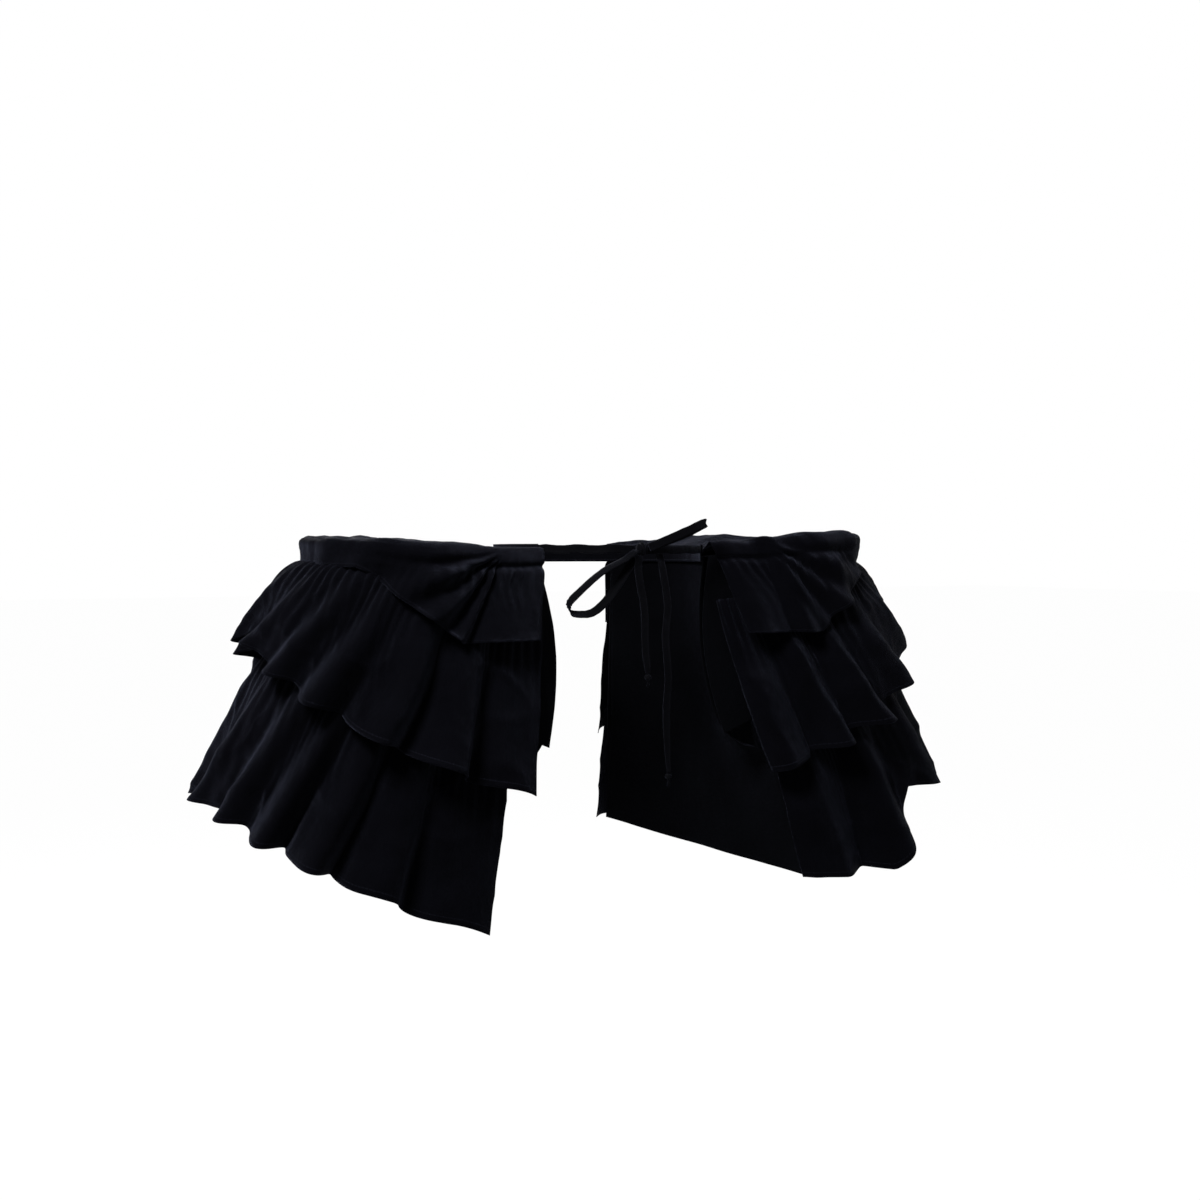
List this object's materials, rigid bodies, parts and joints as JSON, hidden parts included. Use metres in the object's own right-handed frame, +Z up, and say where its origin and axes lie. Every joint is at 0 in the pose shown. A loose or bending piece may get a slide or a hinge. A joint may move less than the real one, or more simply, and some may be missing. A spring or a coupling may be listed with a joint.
{
  "type": "pannier",
  "caption": "Black cloth costume pannier: hooped hip pockets dressed with tiers of gathered flounces, on a waistband that ties in a bow at the front.",
  "frame": {"origin": "middle of the waist opening, at the height of the tie", "axes": "+Z up, +X to the wearer's left, and the wearer faces -Y"},
  "size_m": [0.9127, 0.3453, 0.4155],
  "materials": {
    "tape": "woven black tape",
    "base_cloth": "plain black lining cloth",
    "flounce_cloth": "black cotton cloth with a soft sheen",
    "boning": "flat boning"
  },
  "bodies": {
    "root": {"waistband": "tape", "tie_run_right": "tape", "tie_run_left": "tape", "bow_knot": "tape", "bow_loop_right": "tape", "bow_loop_left": "tape", "tail_short": "tape", "tail_long": "tape", "tail_short_knot": "tape", "tail_long_knot": "tape", "right_base": "base_cloth", "right_hip_panel": "base_cloth", "right_rim_casing": "base_cloth", "right_lower_casing": "base_cloth", "right_rim_hoop": "boning", "right_lower_hoop": "boning", "right_top_flounce": "flounce_cloth", "right_middle_flounce": "flounce_cloth", "right_bottom_flounce": "flounce_cloth", "left_base": "base_cloth", "left_hip_panel": "base_cloth", "left_rim_casing": "base_cloth", "left_lower_casing": "base_cloth", "left_rim_hoop": "boning", "left_lower_hoop": "boning", "left_top_flounce": "flounce_cloth", "left_middle_flounce": "flounce_cloth", "left_bottom_flounce": "flounce_cloth"}
  },
  "joints": []
}
